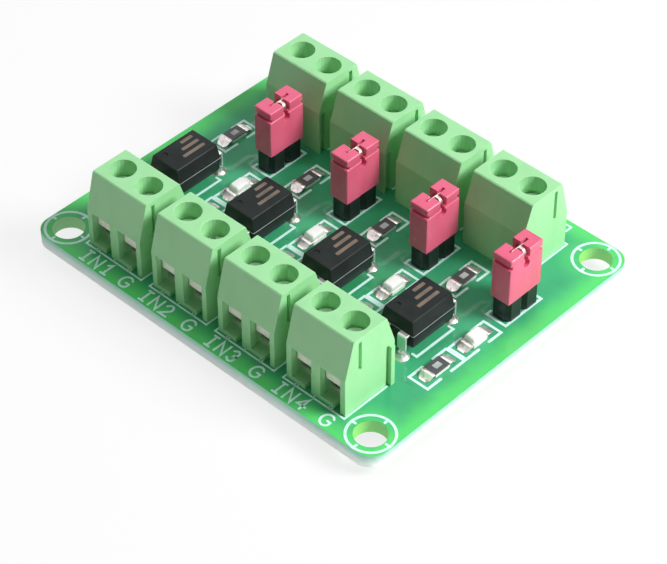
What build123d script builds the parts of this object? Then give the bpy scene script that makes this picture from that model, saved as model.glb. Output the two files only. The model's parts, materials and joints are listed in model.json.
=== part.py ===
from build123d import *
import math
import os

# A four-channel optocoupler isolation board. All sizes are in millimetres.
# The origin is the middle of the four mounting holes, on the board's underside.
# X runs along the row of channels, Y from the input edge to the output edge, Z is up.

# Board
BOARD_X = 50.0
BOARD_Y = 40.8
BOARD_T = 1.6
CORNER_R = 2.2
HOLES_X = 44.4
HOLES_Y = 35.2
HOLE_D = 3.6
CHANNELS = 4
CHANNEL_PITCH = 11.4

# Screw terminals, two poles each
POLE_PITCH = 4.0
BLOCK_PITCH = 9.8
BLOCK_X = 8.1
BLOCK_H = 9.4
BLOCK_TOP_W = 4.8
BLOCK_DEPTH = 7.2
FRONT_KNEE = 4.85
REAR_KNEE = 5.7
INPUT_ROW_Y = -14.05
OUTPUT_ROW_Y = 13.45
OUTPUT_ROW_X = -0.45
BLOCK_EDGE = 0.12
WELL_D = 2.95
WELL_SIDES = 24
ENTRY_W = 2.75
ENTRY_FLOOR = 0.55
ENTRY_TOP_DROP = 0.2
MOUTH_DEPTH = 1.2
FLOOR_SLOT_W = 0.9
FLOOR_SLOT_L = 1.5
GROOVE_W = 0.45
GROOVE_DEPTH = 0.45
GROOVE_Y = -1.45
GROOVE_DROP = 0.55
RIB_OUT = 0.4
RIB_T = 0.55
RIB_INSET = 0.62
RIB_DROP = 0.3
RIB_FIT = 0.1
RELIEF_T = 0.28

# Clamp parts inside each pole
SCREW_D = 2.5
SCREW_SIDES = 16
SCREW_BORE_GAP = 0.05
SCREW_PLATE_GAP = 0.02
SCREW_SLOT_TURN = 35
SCREW_DEPTH = 2.0
SCREW_SLOT_W = 0.5
SCREW_SLOT_D = 0.6
CHAMBER_W = 3.05
CONTACT_T = 0.45
NUT_T = 1.0
NUT_GAP = 0.65
NUT_BORE_SIDES = 12
CAGE_BACK = 2.1
CAGE_FRONT = 1.9
PLATE_T = 0.4
PLATE_LIP_H = 0.6
PLATE_LEAF_DROP = 1.1
PLATE_SETBACK = 0.8
PLATE_SIDE_GAP = 0.2
WIRE_ROOM = 0.75
CLAMP_TRAVEL = 2.0
SIDE_GAP = 0.05
PIN_W = 0.9
PIN_BELOW = 1.3

# Optocouplers
OPTO_X = 4.6
OPTO_Y = 6.5
OPTO_H = 3.5
OPTO_LIFT = 1.15
OPTO_DRAFT = 0.16
OPTO_TOP_DRAFT = 0.19
OPTO_SPLIT = 1.75
OPTO_AT = (-1.3, -3.65)
LEAD_SPAN = 7.62
LEAD_PITCH = 2.54
LEAD_T = 0.25
LEAD_W = 1.15
LEAD_TIP_W = 0.5
LEAD_NECK = 1.0
DIMPLE_D = 0.9
DIMPLE_DEPTH = 0.12
DIMPLE_INSET = 1.05
DIMPLE_SIDES = 10

# Jumper headers and caps
HEADER_PITCH = 2.54
HEADER_H = 2.54
HEADER_CHAMFER = 0.5
HEADER_PIN = 0.64
HEADER_PIN_POINT = 0.16
HEADER_PIN_UP = 5.35
HEADER_AT = (3.5, 6.1)
CAP_X = 2.5
CAP_Y = 5.1
CAP_H = 6.05
CAP_ROOF_GAP = 0.1
CAP_STEP = 0.12
CAP_STEP_DROP = 1.25
CAP_NOTCH_W = 1.15
CAP_SLOT_W = 0.5
CAP_SLOT_DROP = 1.75
CAP_EYE_D = 0.95
CAP_EYE_SIDES = 12
CAP_POCKET = 1.5
CAP_WEB_GAP = 0.5
CAP_SLIT_W = 0.42
CAP_SLIT_L = 2.9
CAP_SLIT_DEPTH = 1.0
CLIP_DROP = 1.6
CLIP_FOOT = 0.4
CLIP_GAP = 0.05
CLIP_GRIP_GAP = 0.04
CLIP_BRIDGE_W = 0.3
CLIP_BRIDGE_L = 2.2
CLIP_BRIDGE_LOW = 1.95
CLIP_BRIDGE_H = 1.35

# Chip resistors and indicator lamps
CHIP_L = 3.2
CHIP_W = 1.6
CHIP_H = 0.55
CHIP_END = 0.5
SOLDER_TOE = 0.42
SOLDER_TOE_T = 0.08
SOLDER_TOE_RISE = 0.47
LAMP_BASE_H = 0.44
LAMP_H = 1.1
LAMP_INSET = 0.22
LENS_GAP = 0.03
OUT_RESISTOR_AT = (-3.05, 5.6)
LAMP_AT = (3.85, -0.5)
IN_RESISTOR_AT = (3.8, -6.3)

# Solder cones
CONE_D = 1.75
CONE_H = 0.85
CONE_TIP_D = 0.8
CONE_SIDES = 8
PIN_CONE_D = 2.1
PIN_CONE_H = 0.9
PIN_CONE_TIP_D = 1.3

# Sizes that follow from the ones above
TOP = BOARD_T
PLATE_REST = ENTRY_FLOOR + CONTACT_T + WIRE_ROOM + CLAMP_TRAVEL
NUT_BOTTOM = PLATE_REST + PLATE_T + NUT_GAP
CHAMBER_TOP = NUT_BOTTOM + NUT_T
FRONT_Y = -BLOCK_DEPTH / 2
LIP_Y = FRONT_Y + PLATE_SETBACK
CAGE_L = CAGE_BACK + CAGE_FRONT
CAGE_MIDDLE = (CAGE_BACK - CAGE_FRONT) / 2
HALF_SPAN = LEAD_SPAN / 2
POCKET_DEPTH = HEADER_PIN_UP + CAP_ROOF_GAP
CHANNEL_XS = [(i - (CHANNELS - 1) / 2) * CHANNEL_PITCH for i in range(CHANNELS)]
BLOCK_XS = [(i - (CHANNELS - 1) / 2) * BLOCK_PITCH for i in range(CHANNELS)]


def block(size_x, size_y, size_z, x=0.0, y=0.0, z=0.0):
    """Return a box centred on x and y that stands on height z."""
    return Pos(x, y, z) * Box(size_x, size_y, size_z, align=(Align.CENTER, Align.CENTER, Align.MIN))


def rod(diameter, height, x=0.0, y=0.0, z=0.0):
    """Return an upright cylinder that stands on height z."""
    upright = Cylinder(diameter / 2, height, align=(Align.CENTER, Align.CENTER, Align.MIN))
    return Pos(x, y, z) * upright


def prism(sides, diameter, height, x=0.0, y=0.0, z=0.0):
    """Return an upright bar of many sides inside the diameter, standing on height z."""
    return Pos(x, y, z) * extrude(RegularPolygon(diameter / 2, sides), height)


def bore(sides, diameter, height, x=0.0, y=0.0, z=0.0):
    """Return the cutter for a hole of many sides outside the diameter, from height z up."""
    outline = RegularPolygon(diameter / 2, sides, major_radius=False)
    return Pos(x, y, z) * extrude(outline, height)


def tapered(outline, height, inset, z=0.0):
    """Return the outline raised from height z, with its top smaller by inset on every side."""
    angle = math.degrees(math.atan(inset / height))
    return Pos(0, 0, z) * extrude(outline, height, taper=angle)


def poles():
    """Return the local X of the two poles of a terminal."""
    return [-POLE_PITCH / 2, POLE_PITCH / 2]


def make_housing():
    """Return one terminal housing, wire entries towards -Y, standing on height 0."""
    half = BLOCK_DEPTH / 2
    outline = [
        (-half, 0),
        (half, 0),
        (half, REAR_KNEE),
        (BLOCK_TOP_W / 2, BLOCK_H),
        (-BLOCK_TOP_W / 2, BLOCK_H),
        (-half, FRONT_KNEE),
    ]
    side = make_face(Plane.YZ * Polyline(*outline, close=True))
    body = extrude(side, amount=BLOCK_X / 2, both=True)
    body = chamfer(body.edges().filter_by(Axis.X).group_by(Axis.Z)[-1], BLOCK_EDGE)
    entry_h = FRONT_KNEE - ENTRY_TOP_DROP - ENTRY_FLOOR
    tall = CHAMBER_TOP - ENTRY_FLOOR
    for x in poles():
        body -= bore(WELL_SIDES, WELL_D, BLOCK_H, x, 0, NUT_BOTTOM)
        body -= block(ENTRY_W, 2 * MOUTH_DEPTH, entry_h, x, FRONT_Y, ENTRY_FLOOR)
        body -= block(CHAMBER_W, CAGE_BACK - LIP_Y, entry_h, x, (CAGE_BACK + LIP_Y) / 2, ENTRY_FLOOR)
        body -= block(CHAMBER_W, CAGE_L, tall, x, CAGE_MIDDLE, ENTRY_FLOOR)
        slot_x = x + (ENTRY_W - FLOOR_SLOT_W) / 2
        body -= block(FLOOR_SLOT_W, 2 * FLOOR_SLOT_L, 2 * ENTRY_FLOOR, slot_x, FRONT_Y, -ENTRY_FLOOR)
        body -= block(PIN_W, PIN_W, 2 * ENTRY_FLOOR, x, 0, -ENTRY_FLOOR)
    groove_z = FRONT_KNEE + ENTRY_TOP_DROP
    groove_h = BLOCK_H - GROOVE_DROP - groove_z
    rib_h = REAR_KNEE - RIB_DROP
    rib_y = half - RIB_INSET
    relief_y = rib_y - RIB_T / 2 - RELIEF_T / 2
    end_x = BLOCK_X / 2
    for end in (-end_x, end_x):
        body -= block(2 * GROOVE_DEPTH, GROOVE_W, groove_h, end, GROOVE_Y, groove_z)
    body -= block(2 * RIB_OUT, RELIEF_T, rib_h, end_x, relief_y, 0)
    body -= block(2 * RIB_OUT + 2 * RIB_FIT, RIB_T + 2 * RIB_FIT, rib_h + RIB_FIT, -end_x, rib_y, 0)
    body += block(2 * RIB_OUT, RIB_T, rib_h, end_x, rib_y, 0)
    return body


def make_screw():
    """Return one slotted clamp screw at a pole, in the terminal's own frame."""
    low = PLATE_REST + PLATE_T + SCREW_PLATE_GAP
    high = BLOCK_H - SCREW_DEPTH
    screw = prism(SCREW_SIDES, SCREW_D, high - low, 0, 0, low)
    slot = block(SCREW_D + 1, SCREW_SLOT_W, SCREW_SLOT_D + 1, 0, 0, high - SCREW_SLOT_D)
    return screw - Rot(0, 0, SCREW_SLOT_TURN) * slot


def make_plate():
    """Return one clamp plate with its upright front leaf, in the terminal's own frame."""
    width = CHAMBER_W - 2 * PLATE_SIDE_GAP
    back = CAGE_BACK - CONTACT_T - SIDE_GAP
    plate = block(width, back - LIP_Y, PLATE_T, 0, (back + LIP_Y) / 2, PLATE_REST)
    leaf_h = PLATE_LIP_H + PLATE_LEAF_DROP
    return plate + block(width, PLATE_T, leaf_h, 0, LIP_Y + PLATE_T / 2, PLATE_REST - PLATE_LEAF_DROP)


def make_contact():
    """Return one bent contact: threaded top, back wall, floor and board pin."""
    tall = CHAMBER_TOP - ENTRY_FLOOR
    contact = block(CHAMBER_W, CONTACT_T, tall, 0, CAGE_BACK - CONTACT_T / 2, ENTRY_FLOOR)
    contact += block(CHAMBER_W, CAGE_L, NUT_T, 0, CAGE_MIDDLE, NUT_BOTTOM)
    contact += block(CHAMBER_W, CAGE_L, CONTACT_T, 0, CAGE_MIDDLE, ENTRY_FLOOR)
    contact -= bore(NUT_BORE_SIDES, SCREW_D + 2 * SCREW_BORE_GAP, 2 * NUT_T, 0, 0, NUT_BOTTOM - NUT_T / 2)
    pin_h = ENTRY_FLOOR + BOARD_T + PIN_BELOW
    return contact + block(PIN_W, PIN_W, pin_h, 0, 0, ENTRY_FLOOR - pin_h)


def make_opto():
    """Return one optocoupler body with drafted halves and a pin-one dimple."""
    outline = Rectangle(OPTO_X, OPTO_Y)
    upper = tapered(outline, OPTO_H - OPTO_SPLIT, OPTO_TOP_DRAFT, OPTO_SPLIT)
    lower = Rot(180, 0, 0) * tapered(outline, OPTO_SPLIT, OPTO_DRAFT, -OPTO_SPLIT)
    body = upper + lower
    dimple_x = -OPTO_X / 2 + DIMPLE_INSET
    dimple_y = -OPTO_Y / 2 + DIMPLE_INSET
    return body - prism(DIMPLE_SIDES, DIMPLE_D, 1, dimple_x, dimple_y, OPTO_H - DIMPLE_DEPTH)


def make_lead():
    """Return one bent lead leaving the body towards +Y, from the board's top upwards."""
    shoulder_z = OPTO_LIFT + OPTO_SPLIT
    run = HALF_SPAN - OPTO_Y / 2 + LEAD_T / 2
    lead = block(LEAD_W, run, LEAD_T, 0, OPTO_Y / 2 + run / 2, shoulder_z - LEAD_T / 2)
    down = shoulder_z - LEAD_NECK
    lead += block(LEAD_W, LEAD_T, down, 0, HALF_SPAN, LEAD_NECK)
    tip = LEAD_NECK + BOARD_T + PIN_BELOW
    lead += block(LEAD_TIP_W, LEAD_T, tip, 0, HALF_SPAN, LEAD_NECK - tip)
    top_edges = lead.edges().filter_by(Axis.X).group_by(Axis.Z)[-1]
    return chamfer(top_edges.sort_by(Axis.Y)[-1], LEAD_T * 0.6)


def make_header():
    """Return the two black modules of one header as one solid with notched sides."""
    outline = Rectangle(HEADER_PITCH, HEADER_PITCH)
    module = extrude(chamfer(outline.vertices(), HEADER_CHAMFER), HEADER_H)
    base = Pos(0, -HEADER_PITCH / 2, 0) * module + Pos(0, HEADER_PITCH / 2, 0) * module
    for y in (-HEADER_PITCH / 2, HEADER_PITCH / 2):
        base -= block(HEADER_PIN, HEADER_PIN, 3 * HEADER_H, 0, y, -HEADER_H)
    return base


def make_header_pin():
    """Return one square header pin with a pointed top, from below the board upwards."""
    bottom = -BOARD_T - PIN_BELOW
    shaft = block(HEADER_PIN, HEADER_PIN, HEADER_H + HEADER_PIN_UP - bottom, 0, 0, bottom)
    return chamfer(shaft.faces().sort_by(Axis.Z)[-1].edges(), HEADER_PIN_POINT)


def make_cap_shell():
    """Return one jumper cap shell, standing on height 0, with its slots and pin pockets."""
    shell = block(CAP_X, CAP_Y, CAP_H - CAP_STEP_DROP)
    neck_x = CAP_X - 2 * CAP_STEP
    neck_y = CAP_Y - 2 * CAP_STEP
    shell += block(neck_x, neck_y, CAP_STEP_DROP, 0, 0, CAP_H - CAP_STEP_DROP)
    for y in (-HEADER_PITCH / 2, HEADER_PITCH / 2):
        shell -= block(CAP_POCKET, CAP_POCKET, POCKET_DEPTH + 1, 0, y, -1)
    shell -= block(CAP_WEB_GAP, HEADER_PITCH, POCKET_DEPTH + 1, 0, 0, -1)
    notch_x = -CAP_X / 4
    shell -= block(CAP_X / 2 + 0.1, CAP_NOTCH_W, CAP_STEP_DROP + 1, notch_x, 0, CAP_H - CAP_STEP_DROP)
    slot_low = CAP_H - CAP_SLOT_DROP
    shell -= block(CAP_X, CAP_SLOT_W, CAP_SLOT_DROP + 1, CAP_X / 2, 0, slot_low)
    shell -= Pos(0, 0, slot_low) * Rot(0, 90, 0) * prism(CAP_EYE_SIDES, CAP_EYE_D, CAP_X)
    return shell - block(CAP_SLIT_W, CAP_SLIT_L, 2 * CAP_SLIT_DEPTH, 0, 0, CAP_H - CAP_SLIT_DEPTH)


def make_cap_clip():
    """Return the metal clip inside a cap: a sleeve round each pin and a bridge between."""
    sleeve_h = CAP_H - CLIP_DROP - CLIP_FOOT
    outer = CAP_POCKET - 2 * CLIP_GAP
    inner = HEADER_PIN + 2 * CLIP_GRIP_GAP
    clip = block(CLIP_BRIDGE_W, CLIP_BRIDGE_L, CLIP_BRIDGE_H, 0, 0, CAP_H - CLIP_BRIDGE_LOW)
    for y in (-HEADER_PITCH / 2, HEADER_PITCH / 2):
        clip += block(outer, outer, sleeve_h, 0, y, CLIP_FOOT)
    for y in (-HEADER_PITCH / 2, HEADER_PITCH / 2):
        clip -= block(inner, inner, CAP_H + 2, 0, y, -1)
    return clip


def make_chip_core(height):
    """Return the middle of a chip part between its two metal ends."""
    return block(CHIP_W, CHIP_L - 2 * CHIP_END, height)


def make_lamp():
    """Return one indicator lamp: a flat base with a tapered lens."""
    lens_w = CHIP_W - 2 * LENS_GAP
    lens_l = CHIP_L - 2 * CHIP_END - 2 * LENS_GAP
    outline = Rectangle(lens_w, lens_l)
    lens = tapered(outline, LAMP_H - LAMP_BASE_H, LAMP_INSET, LAMP_BASE_H)
    return make_chip_core(LAMP_BASE_H) + lens


def make_chip_end():
    """Return the metal end of a chip part with its solder toe towards +Y."""
    low = CHIP_L / 2 - CHIP_END
    high = CHIP_L / 2
    outline = [
        (low, 0),
        (high + SOLDER_TOE, 0),
        (high + SOLDER_TOE, SOLDER_TOE_T),
        (high, SOLDER_TOE_RISE),
        (high, CHIP_H),
        (low, CHIP_H),
    ]
    side = make_face(Plane.YZ * Polyline(*outline, close=True))
    return extrude(side, amount=CHIP_W / 2, both=True)


def solder_cone(base_d, height, tip_d, up):
    """Return one solder cone of many sides on height 0, pointing up or down."""
    inset = (base_d - tip_d) / 2 * math.cos(math.pi / CONE_SIDES)
    cone = tapered(RegularPolygon(base_d / 2, CONE_SIDES), height, inset)
    return cone if up else Rot(180, 0, 0) * cone


def make_board(cuts):
    """Return the board with rounded corners, mounting holes and a hole for every pin."""
    outline = RectangleRounded(BOARD_X, BOARD_Y, CORNER_R)
    board = extrude(outline, BOARD_T)
    for x in (-HOLES_X / 2, HOLES_X / 2):
        for y in (-HOLES_Y / 2, HOLES_Y / 2):
            board -= rod(HOLE_D, 3 * BOARD_T, x, y, -BOARD_T)
    return board - cuts


def save(name, *solids):
    """Write the solids as one STEP file under the given node name."""
    shape = solids[0] if len(solids) == 1 else Compound(children=list(solids))
    shape.label = name
    export_step(shape, os.path.join("parts", name + ".step"))


def channel_place(x, offset):
    """Return the location of a part of the channel at x, on the board's top."""
    return Pos(x + offset[0], offset[1], TOP)


def main():
    """Build every node and write its STEP file."""
    os.makedirs("parts", exist_ok=True)
    housing = make_housing()
    screw = make_screw()
    plate = make_plate()
    contact = make_contact()
    opto = make_opto()
    lead = make_lead()
    header = make_header()
    header_pin = make_header_pin()
    shell = make_cap_shell()
    clip = make_cap_clip()
    resistor = make_chip_core(CHIP_H)
    lamp = make_lamp()
    chip_end = make_chip_end()
    pin_box = block(PIN_W, PIN_W, 20, 0, 0, -10)
    tip_box = block(LEAD_TIP_W, LEAD_T, 20, 0, 0, -10)
    square_box = block(HEADER_PIN, HEADER_PIN, 20, 0, 0, -10)
    cone_under = solder_cone(CONE_D, CONE_H, CONE_TIP_D, False)
    pin_cone = solder_cone(PIN_CONE_D, PIN_CONE_H, PIN_CONE_TIP_D, False) - pin_box
    header_cone = cone_under - square_box
    lead_cone_under = cone_under - tip_box
    lead_cone = solder_cone(CONE_D, CONE_H, CONE_TIP_D, True) - tip_box

    cuts = []
    contacts = []
    solder = []
    rows = [("in", 0.0, INPUT_ROW_Y, 0), ("out", OUTPUT_ROW_X, OUTPUT_ROW_Y, 180)]
    for row, row_x, row_y, turn in rows:
        for i, block_x in enumerate(BLOCK_XS):
            place = Pos(row_x + block_x, row_y, TOP) * Rot(0, 0, turn)
            save(f"housing_{row}_{i + 1}", place * housing)
            for pole, pole_x in zip(("a", "b"), poles()):
                at = place * Pos(pole_x, 0, 0)
                save(f"screw_{row}_{i + 1}{pole}", at * screw)
                save(f"plate_{row}_{i + 1}{pole}", at * plate)
                contacts.append(at * contact)
                cuts.append(at * pin_box)
                solder.append(at * Pos(0, 0, -BOARD_T) * pin_cone)

    leads = []
    headers = []
    pins = []
    resistors = []
    lamps = []
    for i, x in enumerate(CHANNEL_XS):
        opto_at = channel_place(x, OPTO_AT)
        save(f"opto_{i + 1}", opto_at * Pos(0, 0, OPTO_LIFT) * opto)
        for turn in (0, 180):
            for lead_x in (-LEAD_PITCH / 2, LEAD_PITCH / 2):
                at = opto_at * Rot(0, 0, turn) * Pos(lead_x, 0, 0)
                hole = at * Pos(0, HALF_SPAN, 0)
                leads.append(at * lead)
                cuts.append(hole * tip_box)
                solder.append(hole * lead_cone)
                solder.append(hole * Pos(0, 0, -BOARD_T) * lead_cone_under)
        header_at = channel_place(x, HEADER_AT)
        headers.append(header_at * header)
        for y in (-HEADER_PITCH / 2, HEADER_PITCH / 2):
            at = header_at * Pos(0, y, 0)
            pins.append(at * header_pin)
            cuts.append(at * square_box)
            solder.append(at * Pos(0, 0, -BOARD_T) * header_cone)
        cap_at = header_at * Pos(0, 0, HEADER_H)
        save(f"cap_shell_{i + 1}", cap_at * shell)
        save(f"cap_clip_{i + 1}", cap_at * clip)
        for offset in (OUT_RESISTOR_AT, IN_RESISTOR_AT):
            resistors.append(channel_place(x, offset) * resistor)
        lamps.append(channel_place(x, LAMP_AT) * lamp)
        for offset in (OUT_RESISTOR_AT, IN_RESISTOR_AT, LAMP_AT):
            for turn in (0, 180):
                solder.append(channel_place(x, offset) * Rot(0, 0, turn) * chip_end)

    save("board", make_board(cuts))
    save("terminal_contacts", *contacts)
    save("opto_leads", *leads)
    save("header_bases", *headers)
    save("header_pins", *pins)
    save("resistors", *resistors)
    save("lamps", *lamps)
    save("solder_and_chip_ends", *solder)


main()
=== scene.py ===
"""Visual model of a four-channel optocoupler isolation board, dressed over its CAD frame."""

import json
import logging
import math
from dataclasses import dataclass
from enum import Enum
from typing import Any, Sequence

import bmesh
import bpy
from mathutils import Matrix, Vector

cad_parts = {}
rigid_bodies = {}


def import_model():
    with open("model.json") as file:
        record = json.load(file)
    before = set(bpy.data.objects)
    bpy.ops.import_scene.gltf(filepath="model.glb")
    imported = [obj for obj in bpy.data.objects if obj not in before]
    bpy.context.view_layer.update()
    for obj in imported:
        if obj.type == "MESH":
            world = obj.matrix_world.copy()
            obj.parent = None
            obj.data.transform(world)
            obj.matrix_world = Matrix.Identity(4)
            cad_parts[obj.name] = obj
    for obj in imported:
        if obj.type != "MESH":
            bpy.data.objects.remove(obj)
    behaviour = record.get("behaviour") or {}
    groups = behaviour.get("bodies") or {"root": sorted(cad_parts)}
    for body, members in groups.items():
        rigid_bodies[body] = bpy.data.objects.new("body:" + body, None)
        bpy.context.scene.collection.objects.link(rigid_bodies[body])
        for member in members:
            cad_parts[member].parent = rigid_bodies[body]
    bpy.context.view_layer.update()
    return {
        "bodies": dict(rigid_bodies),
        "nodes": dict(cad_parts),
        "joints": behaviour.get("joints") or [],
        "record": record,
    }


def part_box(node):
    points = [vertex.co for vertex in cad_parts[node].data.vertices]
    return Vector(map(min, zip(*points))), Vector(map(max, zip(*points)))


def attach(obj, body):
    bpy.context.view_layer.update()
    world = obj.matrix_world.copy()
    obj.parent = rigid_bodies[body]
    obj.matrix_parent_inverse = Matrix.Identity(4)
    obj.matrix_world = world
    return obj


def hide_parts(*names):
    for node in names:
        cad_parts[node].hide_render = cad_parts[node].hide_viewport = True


MM = 0.001
Point = tuple[float, float]
Colour = tuple[float, float, float]
Triple = tuple[float, float, float]
log = logging.getLogger("isolation_board")

@dataclass(frozen=True)
class Layout:
    """Where the board's parts stand, in millimetres of the row frame.

    The places of a channel's own parts are counted from the channel's middle.
    """

    top: float = 1.6
    half: Point = (25.0, 20.4)
    hole: Point = (22.2, 17.6)
    hole_r: float = 1.8
    channel_xs: tuple[float, ...] = (-17.1, -5.7, 5.7, 17.1)
    block_xs: tuple[float, ...] = (-14.7, -4.9, 4.9, 14.7)
    row_ys: Point = (-14.05, 13.45)
    out_row_x: float = -0.45
    pole: float = 2.0
    pitch: float = 2.54
    opto: Point = (-1.3, -3.65)
    opto_span: float = 7.62
    header: Point = (3.5, 6.1)
    resistors: tuple[Point, ...] = ((-3.05, 5.6), (3.8, -6.3))
    lamp: Point = (3.85, -0.5)


PLAN = Layout()


class Body(Enum):
    """Bodies of the frame that carry added pieces."""

    BOARD = "board_assembly"


class Side(Enum):
    """The board's two faces, as the height of each and the way it looks."""

    TOP = (PLAN.top, 1.0)
    UNDER = (0.0, -1.0)


# Shader maths


class Flow:
    """A node socket that can stand in a Python expression."""

    def __init__(self, bench: "Bench", socket: Any) -> None:
        """Keep the socket and the bench that adds further nodes."""
        self.bench = bench
        self.socket = socket

    def maths(self, operation: str, *values: Any) -> "Flow":
        """Add one Math node.

        Args:
            operation: Blender's name of the operation.
            values: numbers or flows, in the node's order.

        Returns:
            The node's result.
        """
        sockets = dict(enumerate(values))
        return self.bench.node("ShaderNodeMath", {"operation": operation}, sockets)

    def __add__(self, other: Any) -> "Flow":
        """Return self + other."""
        return self.maths("ADD", self, other)

    def __radd__(self, other: Any) -> "Flow":
        """Return other + self."""
        return self.maths("ADD", other, self)

    def __sub__(self, other: Any) -> "Flow":
        """Return self - other."""
        return self.maths("SUBTRACT", self, other)

    def __rsub__(self, other: Any) -> "Flow":
        """Return other - self."""
        return self.maths("SUBTRACT", other, self)

    def __mul__(self, other: Any) -> "Flow":
        """Return self * other."""
        return self.maths("MULTIPLY", self, other)

    def __rmul__(self, other: Any) -> "Flow":
        """Return other * self."""
        return self.maths("MULTIPLY", other, self)

    def __pow__(self, other: Any) -> "Flow":
        """Return self to the power of other."""
        return self.maths("POWER", self, other)

    def __rpow__(self, other: Any) -> "Flow":
        """Return other to the power of self."""
        return self.maths("POWER", other, self)

    def __lt__(self, other: Any) -> "Flow":
        """Return 1 where self is below other."""
        return self.maths("LESS_THAN", self, other)

    def __gt__(self, other: Any) -> "Flow":
        """Return 1 where self is above other."""
        return self.maths("GREATER_THAN", self, other)

    def __abs__(self) -> "Flow":
        """Return the size of self without its sign."""
        return self.maths("ABSOLUTE", self)

    def least(self, other: Any) -> "Flow":
        """Return the smaller of self and other."""
        return self.maths("MINIMUM", self, other)

    def most(self, other: Any) -> "Flow":
        """Return the larger of self and other."""
        return self.maths("MAXIMUM", self, other)

    def step(self, low: float, high: float) -> "Flow":
        """Add a smooth rise from 0 to 1, or a fall where low is above high.

        Args:
            low: the value of self at which the result is 0.
            high: the value of self at which it is 1.

        Returns:
            The share from 0 to 1.
        """
        settings = {"interpolation_type": "SMOOTHSTEP"}
        sockets = {"Value": self, "From Min": low, "From Max": high}
        return self.bench.node("ShaderNodeMapRange", settings, sockets)


class Bench:
    """The node tree of one material."""

    def __init__(self, name: str) -> None:
        """Start an empty tree.

        Args:
            name: the material's name.
        """
        self.material = bpy.data.materials.new(name)
        self.material.use_nodes = True
        self.tree = self.material.node_tree
        self.tree.nodes.clear()

    def node(
        self,
        kind: str,
        settings: dict[str, Any] | None = None,
        sockets: dict[Any, Any] | None = None,
        out: Any = 0,
    ) -> Flow:
        """Add one node of any type.

        Args:
            kind: the node's type.
            settings: its own settings, set before its sockets.
            sockets: values or flows for its inputs, by name or number.
            out: the name or number of the output to return.

        Returns:
            The chosen output.
        """
        made = self.tree.nodes.new(kind)
        for key, value in (settings or {}).items():
            setattr(made, key, value)
        for key, value in (sockets or {}).items():
            if isinstance(value, Flow):
                self.tree.links.new(value.socket, made.inputs[key])
            else:
                made.inputs[key].default_value = value
        return Flow(self, made.outputs[out] if len(made.outputs) else None)

    def place(self) -> Flow:
        """Return the point's place in the row frame, in millimetres."""
        sockets = {0: self.node("ShaderNodeTexCoord", out="Object"), "Scale": 1 / MM}
        return self.node("ShaderNodeVectorMath", {"operation": "SCALE"}, sockets)

    def parts(self, vector: Flow) -> tuple[Flow, Flow, Flow]:
        """Split a vector.

        Args:
            vector: the vector.

        Returns:
            Its X, Y and Z.
        """
        first = self.node("ShaderNodeSeparateXYZ", {}, {0: vector})
        outs = first.socket.node.outputs
        return first, Flow(self, outs[1]), Flow(self, outs[2])

    def stretched(self, vector: Flow, scale: Sequence[float]) -> Flow:
        """Return a vector with each direction multiplied by its own number."""
        sockets = {0: vector, 1: tuple(scale)}
        return self.node("ShaderNodeVectorMath", {"operation": "MULTIPLY"}, sockets)

    def noise(self, vector: Flow, scale: float, detail: float = 2.0) -> Flow:
        """Return soft noise from 0 to 1, with scale waves a millimetre."""
        sockets = {"Vector": vector, "Scale": scale, "Detail": detail}
        return self.node("ShaderNodeTexNoise", {}, sockets)

    def mix(self, first: Any, second: Any, share: Any) -> Flow:
        """Mix two colours.

        Args:
            first: a colour or a flow.
            second: a colour or a flow.
            share: how much of the second there is, from 0 to 1.

        Returns:
            The mixed colour.
        """
        first = first if isinstance(first, Flow) else (*first, 1.0)
        second = second if isinstance(second, Flow) else (*second, 1.0)
        sockets = {0: share, 6: first, 7: second}
        return self.node("ShaderNodeMix", {"data_type": "RGBA"}, sockets, out=2)

    def relief(self, height: Flow, depth: float, strength: float = 1.0) -> Flow:
        """Return a bumped normal from a height of 0 to 1 over depth millimetres."""
        sockets = {"Height": height, "Distance": depth * MM, "Strength": strength}
        return self.node("ShaderNodeBump", {}, sockets)

    def surface(self, **sockets: Any) -> bpy.types.Material:
        """Close the tree with a Principled shader.

        Args:
            sockets: values or flows by the shader's socket names, with _ for a space.

        Returns:
            The finished material.
        """
        named = {key.replace("_", " "): value for key, value in sockets.items()}
        for key in ("Base Color", "Emission Color"):
            if key in named and not isinstance(named[key], Flow):
                named[key] = (*named[key], 1.0)
        shader = self.node("ShaderNodeBsdfPrincipled", {}, named)
        self.node("ShaderNodeOutputMaterial", {}, {"Surface": shader})
        return self.material


# Finishes


@dataclass(frozen=True)
class Finish:
    """What every finish has: a name and the record's slot."""

    name: str
    slot: str

    def material(self) -> bpy.types.Material:
        """Return the finish's material, made on first use."""
        known = bpy.data.materials.get(self.name)
        return known if known else self.make(Bench(self.name))

    def make(self, bench: Bench) -> bpy.types.Material:
        """Build the material's nodes; each finish has its own way."""
        raise NotImplementedError


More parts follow.
